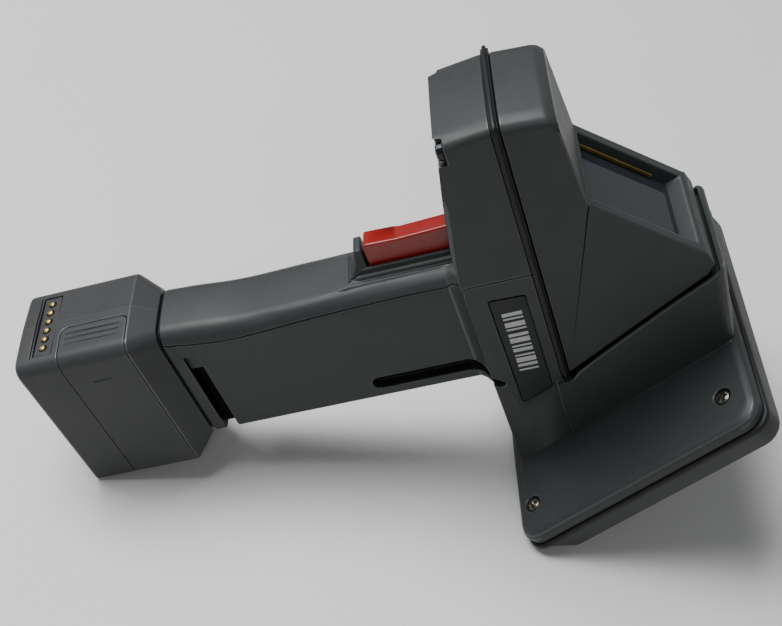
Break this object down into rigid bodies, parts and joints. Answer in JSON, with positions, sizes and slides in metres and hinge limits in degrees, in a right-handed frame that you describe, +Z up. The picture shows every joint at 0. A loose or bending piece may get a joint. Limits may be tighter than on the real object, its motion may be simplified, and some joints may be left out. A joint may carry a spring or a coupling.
{
  "type": "handheld barcode scanner",
  "caption": "Pistol-grip barcode scanner lying on its back: battery base, handle with a trigger, window head and a wide rear plate with a display and keys.",
  "frame": {"origin": "centre of the footprint on the surface the scanner lies on, Z up", "axes": "+X from the battery base towards the head along the handle's run on the table, +Y across the handle to its far side, +Z up"},
  "size_m": [0.2428, 0.1036, 0.1612],
  "materials": {
    "shell_plastic": "satin moulded charcoal grey with a fine spark texture",
    "base_plastic": "satin moulded charcoal grey, slightly warmer than the shells",
    "black_rubber": "satin black rubber bead",
    "red_plastic": "gloss red",
    "window_glass": "dark tinted, polished",
    "display_glass": "dark tinted, polished",
    "amber_plastic": "translucent amber",
    "contact_gold": "gold plated",
    "screw_steel": "plated steel",
    "black_steel": "black oxide",
    "plate_print": null,
    "inner_plastic": "moulded black",
    "circuit_board": "green circuit board",
    "cell_sleeve": "blue shrink sleeve",
    "display_green": "grey-green liquid crystal panel",
    "optics": "polished glass, silvered",
    "key_rubber": "matt grey silicone"
  },
  "bodies": {
    "housing": {"front_shell": "shell_plastic", "rear_shell": "shell_plastic", "upper_housing": "shell_plastic", "back_cover": "shell_plastic", "base_housing": "base_plastic", "contact_strip": "base_plastic", "head_gasket": "black_rubber", "cover_gasket": "black_rubber", "base_seal": "black_rubber", "scan_window": "window_glass", "display_lens": "display_glass", "window_trim": "amber_plastic", "contact_1": "contact_gold", "contact_2": "contact_gold", "contact_3": "contact_gold", "contact_4": "contact_gold", "contact_5": "contact_gold", "contact_6": "contact_gold", "battery_spring_plate": "contact_gold", "flange_screw_1": "screw_steel", "flange_screw_2": "screw_steel", "flange_screw_3": "screw_steel", "flange_screw_4": "screw_steel", "trigger_pin": "screw_steel", "trigger_spring": "screw_steel", "laser_module": "screw_steel", "head_screw_1": "black_steel", "head_screw_2": "black_steel", "mirror_motor": "black_steel", "nameplate_near": "plate_print", "nameplate_far": "plate_print", "trigger_switch": "inner_plastic", "beeper": "inner_plastic", "main_board": "circuit_board", "keypad_board": "circuit_board", "battery_cell_1": "cell_sleeve", "battery_cell_2": "cell_sleeve", "display_module": "display_green", "collector_lens": "optics"},
    "trigger": {"trigger": "red_plastic"},
    "battery_door": {"battery_door": "base_plastic"},
    "scan_mirror": {"scan_mirror": "optics"},
    "key_1": {"key_1": "key_rubber"},
    "key_2": {"key_2": "key_rubber"},
    "key_3": {"key_3": "key_rubber"},
    "key_4": {"key_4": "key_rubber"},
    "key_5": {"key_5": "key_rubber"},
    "key_6": {"key_6": "key_rubber"},
    "key_7": {"key_7": "key_rubber"},
    "key_8": {"key_8": "key_rubber"},
    "key_9": {"key_9": "key_rubber"},
    "key_10": {"key_10": "key_rubber"},
    "key_11": {"key_11": "key_rubber"},
    "key_12": {"key_12": "key_rubber"}
  },
  "joints": [
    {"name": "trigger_pull", "type": "hinge", "parent": "housing", "child": "trigger", "pos_m": [0.02721, 0, 0.10472], "axis": [0, -1, 0], "range_deg": [0, 7], "stiffness_Nm_per_rad": 0.6, "springref_deg": -3.44, "deforming": ["trigger_spring"]},
    {"name": "battery_door_slide", "type": "slide", "parent": "housing", "child": "battery_door", "axis": [0, -1, 0], "range_m": [0, 0.016]},
    {"name": "mirror_scan", "type": "hinge", "parent": "housing", "child": "scan_mirror", "pos_m": [0.06252, 0, 0.09355], "axis": [0.7718, 0, 0.6359], "range_deg": [-8, 8], "stiffness_Nm_per_rad": 0.0005},
    {"name": "key_1_press", "type": "slide", "parent": "housing", "child": "key_1", "axis": [-0.7258, 0, 0.6879], "range_m": [0, 0.0012], "stiffness_N_per_m": 600, "springref_m": -0.0008},
    {"name": "key_2_press", "type": "slide", "parent": "housing", "child": "key_2", "axis": [-0.7258, 0, 0.6879], "range_m": [0, 0.0012], "stiffness_N_per_m": 600, "springref_m": -0.0008},
    {"name": "key_3_press", "type": "slide", "parent": "housing", "child": "key_3", "axis": [-0.7258, 0, 0.6879], "range_m": [0, 0.0012], "stiffness_N_per_m": 600, "springref_m": -0.0008},
    {"name": "key_4_press", "type": "slide", "parent": "housing", "child": "key_4", "axis": [-0.7258, 0, 0.6879], "range_m": [0, 0.0012], "stiffness_N_per_m": 600, "springref_m": -0.0008},
    {"name": "key_5_press", "type": "slide", "parent": "housing", "child": "key_5", "axis": [-0.7258, 0, 0.6879], "range_m": [0, 0.0012], "stiffness_N_per_m": 600, "springref_m": -0.0008},
    {"name": "key_6_press", "type": "slide", "parent": "housing", "child": "key_6", "axis": [-0.7258, 0, 0.6879], "range_m": [0, 0.0012], "stiffness_N_per_m": 600, "springref_m": -0.0008},
    {"name": "key_7_press", "type": "slide", "parent": "housing", "child": "key_7", "axis": [-0.7258, 0, 0.6879], "range_m": [0, 0.0012], "stiffness_N_per_m": 600, "springref_m": -0.0008},
    {"name": "key_8_press", "type": "slide", "parent": "housing", "child": "key_8", "axis": [-0.7258, 0, 0.6879], "range_m": [0, 0.0012], "stiffness_N_per_m": 600, "springref_m": -0.0008},
    {"name": "key_9_press", "type": "slide", "parent": "housing", "child": "key_9", "axis": [-0.7258, 0, 0.6879], "range_m": [0, 0.0012], "stiffness_N_per_m": 600, "springref_m": -0.0008},
    {"name": "key_10_press", "type": "slide", "parent": "housing", "child": "key_10", "axis": [-0.7258, 0, 0.6879], "range_m": [0, 0.0012], "stiffness_N_per_m": 600, "springref_m": -0.0008},
    {"name": "key_11_press", "type": "slide", "parent": "housing", "child": "key_11", "axis": [-0.7258, 0, 0.6879], "range_m": [0, 0.0012], "stiffness_N_per_m": 600, "springref_m": -0.0008},
    {"name": "key_12_press", "type": "slide", "parent": "housing", "child": "key_12", "axis": [-0.7258, 0, 0.6879], "range_m": [0, 0.0012], "stiffness_N_per_m": 600, "springref_m": -0.0008}
  ]
}
